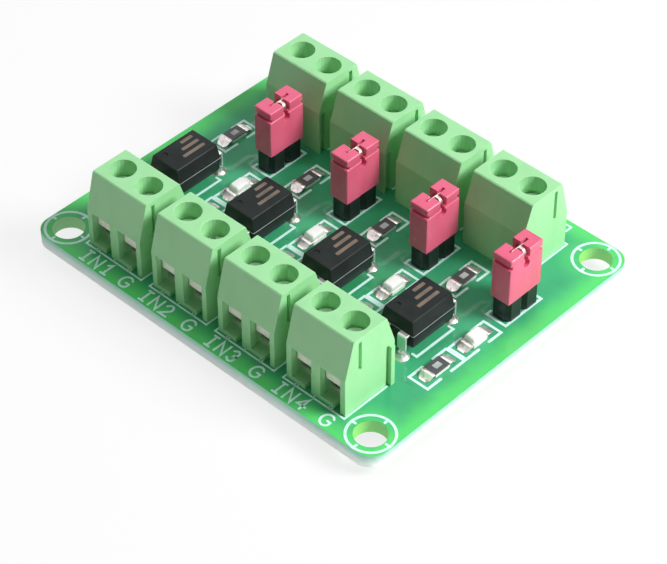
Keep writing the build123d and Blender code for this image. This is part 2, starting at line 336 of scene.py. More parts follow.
@dataclass(frozen=True)
class MaskedBoard(Finish):
    """Green solder mask over glass fibre, pale at the cut edges and in the screw holes, with a
    painted glow on those upright faces.
    """

    inner: Colour = (0.05, 0.39, 0.185)
    patch: Colour = (0.036, 0.30, 0.125)
    # rim: mask over bare laminate, made lighter as painted light shining through the thin board
    rim: Colour = (0.10, 0.68, 0.17)
    edge: Colour = (0.92, 0.98, 0.96)
    edge_pale: Colour = (1.0, 1.0, 1.0)
    edge_top: Colour = (0.21, 0.58, 0.40)
    hole: Colour = (0.17, 0.74, 0.10)
    hole_deep: Colour = (0.30, 0.60, 0.10)
    # glow: painted glow, light that the upright cut edges and hole walls give off though they are
    # no lamp
    glow: Colour = (0.10, 0.12, 0.12)
    rim_fade: Point = (3.4, 0.3)
    rim_wander: float = 1.4
    hole_fade: Point = (4.8, 2.6)
    hole_share: float = 0.45
    hole_margin: float = 0.1
    edge_fade: Point = (0.05, 1.75)
    threads: Point = (3.2, 0.6)
    cloth_depth: float = 0.008

    def make(self, bench: Bench) -> bpy.types.Material:
        """Build the mask, deeper in patches and lighter by the rim and the screw holes, where mask
        over bare laminate and painted light shining through the thin board both lighten it.

        Args:
            bench: the material's node tree.

        Returns:
            The material.
        """

        place = bench.place()
        x, y, z = bench.parts(place)
        inset = (PLAN.half[0] - abs(x)).least(PLAN.half[1] - abs(y))
        from_hole = ((abs(x) - PLAN.hole[0]) ** 2 + (abs(y) - PLAN.hole[1]) ** 2) ** 0.5
        wander = bench.noise(place, 0.35) * self.rim_wander
        # Lighter band by the rim and the screw holes: partly mask over bare laminate, partly
        # painted light shining through the board
        bare_and_backlit = (inset + wander - self.rim_wander / 2).step(*self.rim_fade)
        bare_and_backlit = bare_and_backlit.most(from_hole.step(*self.hole_fade) * self.hole_share)
        patches = bench.noise(place, 0.22, 3.0).step(0.45, 0.75)
        green = bench.mix(bench.mix(self.inner, self.patch, patches), self.rim, bare_and_backlit)
        across, along = self.threads
        warp = bench.noise(bench.stretched(place, (across, along, 1.0)), 1.0)
        weft = bench.noise(bench.stretched(place, (along, across, 1.0)), 1.0)
        cloth = warp * 0.5 + weft * 0.5
        _, _, up = bench.parts(bench.node("ShaderNodeNewGeometry", out="True Normal"))
        upright = abs(up) < 0.5
        layers = bench.noise(bench.stretched(place, (0.4, 0.4, 9.0)), 1.0, 4.0)
        cut = bench.mix(self.edge, self.edge_pale, layers)
        cut = bench.mix(cut, self.edge_top, z.step(*self.edge_fade))
        wall = bench.mix(self.hole, self.hole_deep, layers)
        side = bench.mix(cut, wall, from_hole < PLAN.hole_r + self.hole_margin)
        skin = bench.noise(place, 1.6, 3.0)
        return bench.surface(
            Base_Color=bench.mix(green, side, upright),
            Roughness=0.26 + skin * 0.1 + upright * 0.4,
            Specular_IOR_Level=0.2,
            Coat_Weight=0.2 - upright * 0.2,
            Coat_Roughness=0.1,
            # Painted glow on the upright faces only
            Emission_Color=bench.mix((0.0, 0.0, 0.0), self.glow, upright),
            Emission_Strength=1.0,
            Normal=bench.relief(cloth * 0.6 + skin * 0.4, self.cloth_depth, 0.5),
        )


@dataclass(frozen=True)
class RaisedMask(Finish):
    """Solder mask over a copper track, a little deeper in tone than the mask round it, partly as
    painted shade for the shadows that fall between the parts.
    """

    tone: Colour = (0.040, 0.33, 0.15)
    pale: Colour = (0.05, 0.38, 0.18)

    def make(self, bench: Bench) -> bpy.types.Material:
        """Build glossy green with a faint ripple.

        Args:
            bench: the material's node tree.

        Returns:
            The material.
        """

        place = bench.place()
        ripple = bench.noise(place, 1.3, 3.0)
        return bench.surface(
            Base_Color=bench.mix(self.tone, self.pale, ripple),
            Roughness=0.24 + ripple * 0.1,
            Coat_Weight=0.6,
            Coat_Roughness=0.06,
            Normal=bench.relief(ripple, 0.01, 0.5),
        )


@dataclass(frozen=True)
class BoardPrint(Finish):
    """Pale print ink, slightly uneven in cover."""

    ink: Colour = (0.72, 0.98, 0.94)
    thin: Colour = (0.56, 0.90, 0.80)

    def make(self, bench: Bench) -> bpy.types.Material:
        """Build the ink with thin places where the mask tints it.

        Args:
            bench: the material's node tree.

        Returns:
            The material.
        """

        place = bench.place()
        cover = bench.noise(place, 2.4, 4.0)
        return bench.surface(
            Base_Color=bench.mix(self.thin, self.ink, cover.step(0.3, 0.5)),
            Roughness=0.42 + cover * 0.2,
            Normal=bench.relief(bench.noise(place, 12.0), 0.006, 0.6),
        )


@dataclass(frozen=True)
class Moulding(Finish):
    """Moulded plastic with a fine satin skin, faint flow marks and a few scuffs."""

    colour: Colour
    deep: Colour
    roughness: float = 0.4
    grain: float = 14.0
    grain_depth: float = 0.006
    coat: float = 0.0
    shine: float = 0.5
    run: Triple = (0.5, 0.5, 0.16)
    scratch: Triple = (5.0, 1.0, 1.0)
    uneven: float = 0.08

    def make(self, bench: Bench) -> bpy.types.Material:
        """Build the plastic, deeper in tone where the melt ran.

        Args:
            bench: the material's node tree.

        Returns:
            The material.
        """

        place = bench.place()
        flow = bench.noise(bench.stretched(place, self.run), 1.0, 3.0)
        skin = bench.noise(place, self.grain, 3.0)
        scuff = bench.noise(bench.stretched(place, self.scratch), 1.0, 5.0).step(0.55, 0.75)
        return bench.surface(
            Base_Color=bench.mix(self.deep, self.colour, flow.step(0.2, 0.62)),
            Roughness=self.roughness + skin * self.uneven + scuff * self.uneven,
            Specular_IOR_Level=self.shine,
            Coat_Weight=self.coat,
            Coat_Roughness=0.12,
            Normal=bench.relief(skin * 0.8 + flow * 0.2, self.grain_depth, 0.6),
        )


@dataclass(frozen=True)
class PlatedMetal(Finish):
    """Plated sheet or wire, brushed one way, with dull patches."""

    colour: Colour
    dull: Colour
    roughness: float = 0.25
    brush: Triple = (12.0, 1.0, 1.0)
    metallic: float = 1.0
    brush_depth: float = 0.008

    def make(self, bench: Bench) -> bpy.types.Material:
        """Build the metal with its brush lines and stains.

        Args:
            bench: the material's node tree.

        Returns:
            The material.
        """

        place = bench.place()
        lines = bench.noise(bench.stretched(place, self.brush), 1.4, 4.0)
        stain = bench.noise(place, 0.9, 3.0).step(0.42, 0.68)
        return bench.surface(
            Base_Color=bench.mix(self.colour, self.dull, stain * 0.7 + lines * 0.2),
            Metallic=self.metallic,
            Roughness=self.roughness + stain * 0.14 + lines * 0.08,
            Normal=bench.relief(lines, self.brush_depth, 0.5),
        )


@dataclass(frozen=True)
class Solder(Finish):
    """Bright solder with a soft, slightly puckered skin."""

    colour: Colour = (0.80, 0.75, 0.74)
    dull: Colour = (0.45, 0.40, 0.38)
    metallic: float = 0.85
    pucker_depth: float = 0.04

    def make(self, bench: Bench) -> bpy.types.Material:
        """Build the solder, duller where it puckered.

        Args:
            bench: the material's node tree.

        Returns:
            The material.
        """

        place = bench.place()
        pucker = bench.noise(place, 2.2, 3.0)
        return bench.surface(
            Base_Color=bench.mix(self.colour, self.dull, pucker.step(0.45, 0.75)),
            Metallic=self.metallic,
            Roughness=0.22 + pucker * 0.22,
            Normal=bench.relief(pucker, self.pucker_depth, 0.6),
        )


@dataclass(frozen=True)
class GlazedChip(Finish):
    """A chip resistor's core: dark glaze on top of white ceramic."""

    glaze: Colour = (0.035, 0.038, 0.04)
    glaze_pale: Colour = (0.09, 0.095, 0.10)
    ceramic: Colour = (0.90, 0.91, 0.88)
    glaze_low: float = 2.02

    def make(self, bench: Bench) -> bpy.types.Material:
        """Build the core, dark above the glaze's lower edge.

        Args:
            bench: the material's node tree.

        Returns:
            The material.
        """

        place = bench.place()
        _, _, z = bench.parts(place)
        mottle = bench.noise(place, 3.0, 3.0)
        dark = bench.mix(self.glaze, self.glaze_pale, mottle)
        return bench.surface(
            Base_Color=bench.mix(self.ceramic, dark, z > self.glaze_low),
            Roughness=0.3 + mottle * 0.15,
            Normal=bench.relief(mottle, 0.01, 0.5),
        )


@dataclass(frozen=True)
class MilkyLens(Finish):
    """A small lamp's cloudy lens over its white base."""

    colour: Colour = (0.93, 0.94, 0.92)
    warm: Colour = (0.91, 0.91, 0.84)

    def make(self, bench: Bench) -> bpy.types.Material:
        """Build the milky white, a little warm in cloudy places.

        Args:
            bench: the material's node tree.

        Returns:
            The material.
        """

        place = bench.place()
        cloud = bench.noise(place, 1.2, 2.0)
        return bench.surface(
            Base_Color=bench.mix(self.colour, self.warm, cloud.step(0.45, 0.8)),
            Roughness=0.18 + cloud * 0.1,
            Coat_Weight=0.5,
            Coat_Roughness=0.08,
            Normal=bench.relief(cloud, 0.02, 0.4),
        )


MASK = MaskedBoard("solder_mask_green", "solder_mask")
# The tracks' deeper tone is partly painted shade between the parts
TRACK_AND_SHADE = RaisedMask("mask_over_track_and_shade", "solder_mask")
PRINT = BoardPrint("board_print_white", "solder_mask")
TERMINAL = Moulding(
    "terminal_green_plastic",
    "terminal_green",
    colour=(0.36, 0.75, 0.37),
    deep=(0.33, 0.71, 0.34),
    roughness=0.38,
)
SCREW = PlatedMetal(
    "screw_plating",
    "screw_steel",
    colour=(0.93, 0.93, 0.91),
    dull=(0.76, 0.76, 0.73),
    roughness=0.34,
    metallic=0.6,
)
PLATE = PlatedMetal(
    "clamp_plate_metal",
    "clamp_plate",
    colour=(0.96, 0.92, 0.86),
    dull=(0.86, 0.80, 0.72),
    roughness=0.5,
    brush=(1.0, 1.0, 9.0),
    metallic=0.3,
)
CONTACT = PlatedMetal(
    "contact_tin",
    "contact_metal",
    colour=(0.74, 0.72, 0.68),
    dull=(0.5, 0.48, 0.44),
    roughness=0.36,
)
EPOXY = Moulding(
    "opto_epoxy",
    "opto_black",
    colour=(0.020, 0.024, 0.024),
    deep=(0.014, 0.017, 0.017),
    roughness=0.3,
    grain=22.0,
    grain_depth=0.01,
    shine=0.1,
)
LEAD = PlatedMetal(
    "tinned_lead",
    "tinned_lead",
    colour=(0.90, 0.90, 0.90),
    dull=(0.70, 0.70, 0.68),
    roughness=0.3,
    metallic=0.7,
)
HEADER = Moulding(
    "header_black_plastic",
    "header_black",
    colour=(0.012, 0.016, 0.016),
    deep=(0.009, 0.011, 0.012),
    roughness=0.25,
    shine=0.35,
)
PIN = PlatedMetal(
    "header_pin_tin",
    "header_pin",
    colour=(0.82, 0.80, 0.74),
    dull=(0.6, 0.58, 0.52),
    roughness=0.26,
)
CAP = Moulding(
    "cap_coral_plastic",
    "cap_red",
    colour=(0.78, 0.125, 0.23),
    deep=(0.72, 0.10, 0.195),
    roughness=0.3,
    grain=16.0,
    coat=0.15,
)
CLIP = PlatedMetal(
    "cap_clip_spring",
    "cap_clip_metal",
    colour=(0.80, 0.74, 0.66),
    dull=(0.6, 0.52, 0.44),
    roughness=0.24,
)
CHIP = GlazedChip("resistor_glaze", "resistor_body")
LENS = MilkyLens("lamp_lens_milky", "lamp_white")
SOLDER = Solder("solder_bright", "solder")
STAMP = Moulding(
    "opto_stamp_tan",
    "opto_black",
    colour=(0.19, 0.14, 0.105),
    deep=(0.09, 0.07, 0.055),
    roughness=0.6,
)
# Light grey of the seam: a painted highlight along the parting line of the black body
SEAM_HIGHLIGHT = Moulding(
    "opto_parting_line_highlight",
    "opto_black",
    colour=(0.42, 0.46, 0.46),
    deep=(0.30, 0.34, 0.34),
    roughness=0.3,
)
MARK = Moulding(
    "resistor_mark",
    "resistor_body",
    colour=(0.52, 0.56, 0.56),
    deep=(0.36, 0.38, 0.38),
    roughness=0.5,
)


# Shapes


class Shape:
    """Gathers the faces of one piece, in millimetres of the row frame."""

    mitre = 0.35

    def __init__(self) -> None:
        """Start with no faces."""
        self.mesh = bmesh.new()

    def knots(self, rows: Sequence[Sequence[Sequence[float]]]) -> list[list[Any]]:
        """Return the new vertices of rows of points."""
        return [[self.mesh.verts.new(p) for p in row] for row in rows]

    def band(self, low: Sequence[Any], high: Sequence[Any]) -> None:
        """Skin the strip between two closed rows with quads.

        Args:
            low: the first row's vertices.
            high: the second row's, as many as the first has.
        """
        for i in range(len(low)):
            j = (i + 1) % len(low)
            self.mesh.faces.new((low[i], low[j], high[j], high[i]))

    def stack(self, rows: Sequence[Sequence[Sequence[float]]]) -> None:
        """Skin closed rows of points and close both ends.

        Args:
            rows: rows of points, all of the same length.
        """
        grid = self.knots(rows)
        for low, high in zip(grid, grid[1:]):
            self.band(low, high)
        self.mesh.faces.new(list(reversed(grid[0])))
        self.mesh.faces.new(grid[-1])

    def prism(self, outline: Sequence[Point], low: float, high: float, axis: int = 2) -> None:
        """Draw an outline out from low to high along an axis.

        Args:
            outline: its points, in the other two directions in their order.
            low: where it starts.
            high: where it ends.
            axis: 0 for X, 1 for Y or 2 for Z.
        """
        rows = []
        for level in (low, high):
            rows.append([(*p[:axis], level, *p[axis:]) for p in outline])
        self.stack(rows)

    def box(self, low: Sequence[float], high: Sequence[float]) -> None:
        """Add a plain box between two corners."""
        (x0, y0, z0), (x1, y1, z1) = low, high
        self.prism([(x0, y0), (x1, y0), (x1, y1), (x0, y1)], z0, z1)

    def carve(self, tool: "Shape") -> None:
        """Cut another shape out of this one.

        Args:
            tool: the shape to cut away; it is used up.
        """
        pieces = []
        for shape in (self, tool):
            bmesh.ops.recalc_face_normals(shape.mesh, faces=shape.mesh.faces)
            data = bpy.data.meshes.new("carving")
            shape.mesh.to_mesh(data)
            shape.mesh.free()
            pieces.append(bpy.data.objects.new("carving", data))
            bpy.context.scene.collection.objects.link(pieces[-1])
        cut = pieces[0].modifiers.new("cut", "BOOLEAN")
        cut.operation = "DIFFERENCE"
        cut.solver = "EXACT"
        cut.use_self = True
        cut.object = pieces[1]
        graph = bpy.context.evaluated_depsgraph_get()
        self.mesh = bmesh.new()
        self.mesh.from_mesh(pieces[0].evaluated_get(graph).to_mesh())
        for piece in pieces:
            data = piece.data
            bpy.data.objects.remove(piece)
            bpy.data.meshes.remove(data)

    def ring(self, inner: Sequence[Point], outer: Sequence[Point], low: float, high: float) -> None:
        """Raise the strip between two closed outlines.

        Args:
            inner: the inner outline.
            outer: the outer outline, with as many points.
            low: the height of its underside.
            high: the height of its top.
        """
        rows = [
            [(x, y, low) for x, y in inner],
            [(x, y, low) for x, y in outer],
            [(x, y, high) for x, y in outer],
            [(x, y, high) for x, y in inner],
        ]
        grid = self.knots(rows)
        for one, two in zip(grid, grid[1:] + grid[:1]):
            self.band(one, two)

    def lathe(self, profile: Sequence[Point], centre: Sequence[float], steps: int = 28) -> None:
        """Turn a profile round an upright axis and close both its ends.

        Args:
            profile: points of a radius and a height above the centre.
            centre: a point of the axis.
            steps: how many faces go round.
        """
        x, y, z = centre
        rows = []
        for radius, height in profile:
            rows.append([(*p, z + height) for p in circle((x, y), radius, steps)])
        self.stack(rows)

    def stroke(self, path: Sequence[Point], width: float, low: float, high: float) -> None:
        """Draw a line of ink or copper with round ends and mitred bends.

        Args:
            path: the line's points.
            width: its width.
            low: the height of its underside.
            high: the height of its face.
        """
        points = [Vector(p) for p in path]
        half = width / 2
        left, right = [], []
        for i, point in enumerate(points):
            before = (point - points[i - 1]).normalized() if i else None
            after = (points[i + 1] - point).normalized() if i + 1 < len(points) else None
            one, two = before or after, after or before
            normal = Vector((-one.y - two.y, one.x + two.x)).normalized()
            reach = half / max(self.mitre, normal.dot(Vector((-one.y, one.x))))
            left.append(point + normal * reach)
            right.append(point - normal * reach)
        outline = list(reversed(left))
        outline += self.cap(points[0], points[0] - points[1], half)
        outline += right
        outline += self.cap(points[-1], points[-1] - points[-2], half)
        self.prism([(p.x, p.y) for p in outline], low, high)

    @staticmethod
    def cap(point: Vector, away: Vector, half: float) -> list[Vector]:
        """Round off the end of a line.

        Args:
            point: the line's last point.
            away: the way out of the line there.
            half: half of the line's width.

        Returns:
            The points between the end's two corners.
        """
        way = math.atan2(away.y, away.x)
        turns = [way + math.radians(a) for a in (-60, -30, 0, 30, 60)]
        return [point + half * Vector((math.cos(t), math.sin(t))) for t in turns]

    def make(self, name: str, finish: Finish, body: str, smooth: float = 30.0) -> Any:
        """Turn the gathered faces into a piece that rides on a body.

        Args:
            name: the piece's name.
            finish: its finish.
            body: the body that it moves with.
            smooth: the angle, in degrees, above which an edge stays sharp.

        Returns:
            The new object.
        """
        bmesh.ops.recalc_face_normals(self.mesh, faces=self.mesh.faces)
        bmesh.ops.scale(self.mesh, vec=(MM, MM, MM), verts=self.mesh.verts)
        data = bpy.data.meshes.new(name)
        self.mesh.to_mesh(data)
        self.mesh.free()
        data.shade_smooth()
        data.set_sharp_from_angle(angle=math.radians(smooth))
        data.materials.append(finish.material())
        piece = bpy.data.objects.new(name, data)
        bpy.context.scene.collection.objects.link(piece)
        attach(piece, body)
        return piece


def circle(centre: Point, radius: float, steps: int = 48) -> list[Point]:
    """Return the points of a circle, counter-clockwise."""
    turns = [2 * math.pi * i / steps for i in range(steps)]
    return [(centre[0] + radius * math.cos(t), centre[1] + radius * math.sin(t)) for t in turns]


def arc(centre: Point, radius: float, start: float, end: float, steps: int = 10) -> list[Point]:
    """Return the points of an arc between two angles in degrees."""
    turns = [math.radians(start + (end - start) * i / steps) for i in range(steps + 1)]
    return [(centre[0] + radius * math.cos(t), centre[1] + radius * math.sin(t)) for t in turns]


def rounded(centre: Point, half: Point, radius: float, steps: int = 3) -> list[Point]:
    """Draw a rectangle with round corners.

    Args:
        centre: its middle.
        half: half of its width and half of its length.
        radius: the radius of its corners.
        steps: how many faces round each corner.

    Returns:
        Its points, counter-clockwise.
    """
    points = []
    for sx, sy, start in ((1, -1, 270), (1, 1, 0), (-1, 1, 90), (-1, -1, 180)):
        corner = (centre[0] + sx * (half[0] - radius), centre[1] + sy * (half[1] - radius))
        points += arc(corner, radius, start, start + 90, steps)
    return points


def levels(centre: Point, steps: Sequence[Triple], radius: float) -> list[list[Triple]]:
    """Lay round-cornered rectangles one over the other.

    Args:
        centre: their middle.
        steps: the height, half width and half length of each.
        radius: the radius of their corners.

    Returns:
        One row of points for each.
    """
    rows = []
    for high, half_x, half_y in steps:
        rows.append([(x, y, high) for x, y in rounded(centre, (half_x, half_y), radius)])
    return rows


def middle(node: str) -> tuple[Point, float, float]:
    """Return a CAD node's middle, its foot and its top, in millimetres."""
    low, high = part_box(node)
    return ((low.x + high.x) / 2 / MM, (low.y + high.y) / 2 / MM), low.z / MM, high.z / MM


SOFT_FACES = 2
SOFT_ANGLE = 32.0
WELD_GAP = 0.002
FLAT_ANGLE = 1.0


def soften(piece: Any, width: float) -> None:
    """Round a piece's sharp edges.

    Args:
        piece: the object.
        width: the width of the round edges, in millimetres.
    """
    bevel = piece.modifiers.new("soft", "BEVEL")
    bevel.width = width * MM
    bevel.segments = SOFT_FACES
    bevel.limit_method = "ANGLE"
    bevel.angle_limit = math.radians(SOFT_ANGLE)
    bevel.harden_normals = True
    bevel.use_clamp_overlap = True


def dress(node: Any, finish: Finish, soft: float = 0.0) -> None:
    """Give a CAD node its finish and, where asked, soft edges.

    Args:
        node: the CAD node's object.
        finish: its finish.
        soft: the width of the soft edges in millimetres, or 0 for none.
    """
    node.data.materials.clear()
    node.data.materials.append(finish.material())
    log.info("dressed %s in %s", node.name, finish.name)
    if not soft:
        return
    weld = node.modifiers.new("weld", "WELD")
    weld.merge_threshold = WELD_GAP * MM
    flat = node.modifiers.new("flat", "DECIMATE")
    flat.decimate_type = "DISSOLVE"
    flat.angle_limit = math.radians(FLAT_ANGLE)
    soften(node, soft)


# Sub-assemblies


@dataclass
class Lettering:
    """Plain stroke letters for the labels beside the terminals."""

    height: float = 1.6
    width: float = 1.37
    line: float = 0.25
    pitch: float = 1.17
    rise: float = 0.001

    def strokes(self, letter: str) -> list[list[Point]]:
        """Look up a letter.

        Args:
            letter: one of the characters that the labels use.

        Returns:
            Its lines, in a box of 1 by 1.
        """
        shapes = {
            "I": [[(0.22, 0), (0.68, 0)], [(0.45, 0), (0.45, 1)], [(0.22, 1), (0.68, 1)]],
            "N": [[(0.05, 0), (0.05, 1), (0.8, 0), (0.8, 1)]],
            "G": [
                [(0.85, 0.82), *arc((0.48, 0.5), 0.5, 60, 300, 14), (0.86, 0.2), (0.86, 0.46)],
                [(0.86, 0.46), (0.55, 0.46)],
            ],
            "1": [[(0.2, 0.78), (0.5, 1), (0.5, 0)], [(0.25, 0), (0.75, 0)]],
            "2": [[(0.12, 0.78), *arc((0.45, 0.7), 0.3, 155, -30, 8), (0.1, 0), (0.82, 0)]],
            "3": [
                [
                    (0.12, 0.85),
                    *arc((0.42, 0.74), 0.26, 100, -80, 6),
                    *arc((0.42, 0.25), 0.28, 80, -110, 7),
                    (0.1, 0.14),
                ]
            ],
            "4": [[(0.62, 0), (0.62, 1), (0.08, 0.32), (0.88, 0.32)]],
        }
        return shapes[letter]

    def write(self, shape: Shape, text: str, at: Point, low: float, high: float) -> None:
        """Add a word's strokes to a shape.

        Args:
            shape: the shape that takes them.
            text: the word.
            at: its lower left corner.
            low: the height of the ink's underside.
            high: the height of its face.
        """
        pen = at[0]
        for letter in text:
            for n, stroke in enumerate(self.strokes(letter)):
                path = [(pen + x * self.width, at[1] + y * self.height) for x, y in stroke]
                shape.stroke(path, self.line, low, high + self.rise * n)
            pen += self.width * self.pitch


@dataclass
class PrintedBoard:
    """The board: its mask, the tracks under it and the print on top."""

    ink: float = 0.025
    copper: float = 0.012
    sink: float = 0.01
    rise: float = 0.0006
    ring_r: float = 2.56
    ring_line: float = 0.3
    tick_r: float = 2.08
    tick_drop: float = 0.002
    line: float = 0.3
    block_line: float = 0.22
    fine_line: float = 0.14
    label_y: float = -20.03
    label_xs: tuple[float, ...] = (-3.42, -4.07, -4.07, -4.11)
    ground_xs: tuple[float, ...] = (2.6, 2.3, 2.4, 2.4)
    brackets: tuple[tuple[Point, Point], ...] = (
        ((-4.26, 2.94), (-1.85, 8.22)),
        ((2.67, -3.24), (5.07, 2.18)),
        ((2.54, -9.15), (5.06, -3.55)),
    )
    bracket_gap: float = 1.6
    opto_xs: tuple[Point, ...] = ((0.55, 1.15), (-3.2, -3.8))
    opto_ys: Point = (-6.45, -0.85)
    header: tuple[Point, ...] = ((2.2, 3.9), (2.2, 3.2), (4.8, 3.2), (4.8, 8.9), (2.2, 8.9))
    block: Point = (-4.3, 4.2)
    in_ys: Point = (-11.7, -17.93)
    out_ys: Point = (11.1, 17.3)
    ticks: tuple[float, ...] = (-2.75, -2.42, -0.13, 1.97, 2.32)
    tick: float = 1.5
    corner: tuple[Point, ...] = ((2.0, 19.7), (2.8, 19.7), (2.8, 18.8))

    def build(self, frame: dict[str, Any]) -> None:
        """Dress the board and add its print and tracks.

        Args:
            frame: the loaded CAD frame.
        """
        dress(frame["nodes"]["board"], MASK)
        self.rings()
        self.outlines()
        self.labels()
        self.tracks()

    def ink_levels(self) -> Point:
        """Return the heights of the ink's underside, just inside the board, and of its face."""
        return PLAN.top - self.sink, PLAN.top + self.ink

    def lay(self, shape: Shape, path: Sequence[Point], width: float) -> None:
        """Add one printed line to a shape."""
        shape.stroke(path, width, *self.ink_levels())

    def rings(self) -> None:
        """Print a ring with four short ticks round each screw hole."""
        shape = Shape()
        low, high = self.ink_levels()
        for sx in (-1, 1):
            for sy in (-1, 1):
                centre = (sx * PLAN.hole[0], sy * PLAN.hole[1])
                inner = circle(centre, self.ring_r - self.ring_line / 2, steps=64)
                outer = circle(centre, self.ring_r + self.ring_line / 2, steps=64)
                shape.ring(inner, outer, low, high)
                for angle in (0, 90, 180, 270):
                    ends = (self.ring_r, self.tick_r)
                    tick = [arc(centre, r, angle, angle, 1)[0] for r in ends]
                    shape.stroke(tick, self.ring_line, low, high - self.tick_drop)
        shape.make("print_hole_rings", PRINT, Body.BOARD.value)

    def bracket(self, shape: Shape, low: Point, high: Point) -> None:
        """Print a box outline that is open in the middle of its long sides.

        Args:
            shape: the shape that takes it.
            low: its lowest corner.
            high: its highest corner.
        """
        (x0, y0), (x1, y1) = low, high
        near = (y0 + y1 - self.bracket_gap) / 2
        far = (y0 + y1 + self.bracket_gap) / 2
        self.lay(shape, [(x0, near), (x0, y0), (x1, y0), (x1, near)], self.line)
        self.lay(shape, [(x0, far), (x0, y1), (x1, y1), (x1, far)], self.line)

    def outlines(self) -> None:
        """Print the outlines of the parts in each channel and of the terminals."""
        shape = Shape()
        for x in PLAN.channel_xs:
            for (x0, y0), (x1, y1) in self.brackets:
                self.bracket(shape, (x + x0, y0), (x + x1, y1))
            low, high = self.opto_ys
            for near, far in self.opto_xs:
                path = [(x + near, low), (x + far, low), (x + far, high), (x + near, high)]
                self.lay(shape, path, self.line)
            self.lay(shape, [(x + dx, y) for dx, y in self.header], self.line)
        for x in PLAN.block_xs:
            for row_x, (end, face) in ((0.0, self.in_ys), (PLAN.out_row_x, self.out_ys)):
                left, right = x + row_x + self.block[0], x + row_x + self.block[1]
                path = [(left, end), (left, face), (right, face), (right, end)]
                self.lay(shape, path, self.block_line)
            front = self.in_ys[1]
            for tick in self.ticks:
                path = [(x + tick, front), (x + tick, front + self.tick)]
                self.lay(shape, path, self.fine_line)
        last = PLAN.block_xs[-1] + PLAN.out_row_x
        self.lay(shape, [(last + dx, y) for dx, y in self.corner], self.block_line)
        shape.make("print_part_outlines", PRINT, Body.BOARD.value)

    def labels(self) -> None:
        """Print IN and a number, and G, below each input terminal."""
        shape = Shape()
        letters = Lettering()
        low, high = self.ink_levels()
        for i, x in enumerate(PLAN.block_xs):
            letters.write(shape, f"IN{i + 1}", (x + self.label_xs[i], self.label_y), low, high)
            letters.write(shape, "G", (x + self.ground_xs[i], self.label_y), low, high)
        shape.make("print_labels", PRINT, Body.BOARD.value)

    def tracks(self) -> None:
        """Raise the copper tracks that show through the mask, darker than the mask partly as
        painted shade.
        """
        shape = Shape()
        low, high = PLAN.top - self.sink, PLAN.top + self.copper
        in_y, out_y = PLAN.row_ys
        for x, block in zip(PLAN.channel_xs, PLAN.block_xs):
            left, right = block - PLAN.pole, block + PLAN.pole
            out_left, out_right = left + PLAN.out_row_x, right + PLAN.out_row_x
            near, far = (x + PLAN.opto[0] + way * PLAN.pitch / 2 for way in (-1, 1))
            first, second = (x + at[0] for at in PLAN.resistors)
            header, lamp = x + PLAN.header[0], x + PLAN.lamp[0]
            paths = [
                (0.7, [(left, in_y), (left, -10.6), (near, -9.4), (near, -7.5)]),
                (0.6, [(right, in_y), (right, -10.9), (second, -9.3), (second, -7.9)]),
                (0.45, [(far, -7.46), (x + 1.7, -5.9), (x + 1.7, -2.6), (second, -2.1)]),
                (0.6, [(near, 0.16), (first, 1.2), (first, 4.0)]),
                (0.6, [(far, 0.16), (x + 0.6, 1.6), (x + 0.6, 4.2), (x + 1.4, 5.0), (header, 5.0)]),
                (0.7, [(first, 7.2), (first, 9.4), (out_left, 11.2), (out_left, out_y)]),
                (0.7, [(header, 7.4), (header, 9.2), (out_right, 10.8), (out_right, out_y)]),
                (0.4, [(lamp, 1.1), (lamp, 2.4), (x + 1.5, 3.4), (x + 1.5, 9.8)]),
            ]
            for n, (width, path) in enumerate(paths):
                shape.stroke(path, width, low, high + self.rise * n)
        shape.make("tracks_top", TRACK_AND_SHADE, Body.BOARD.value)


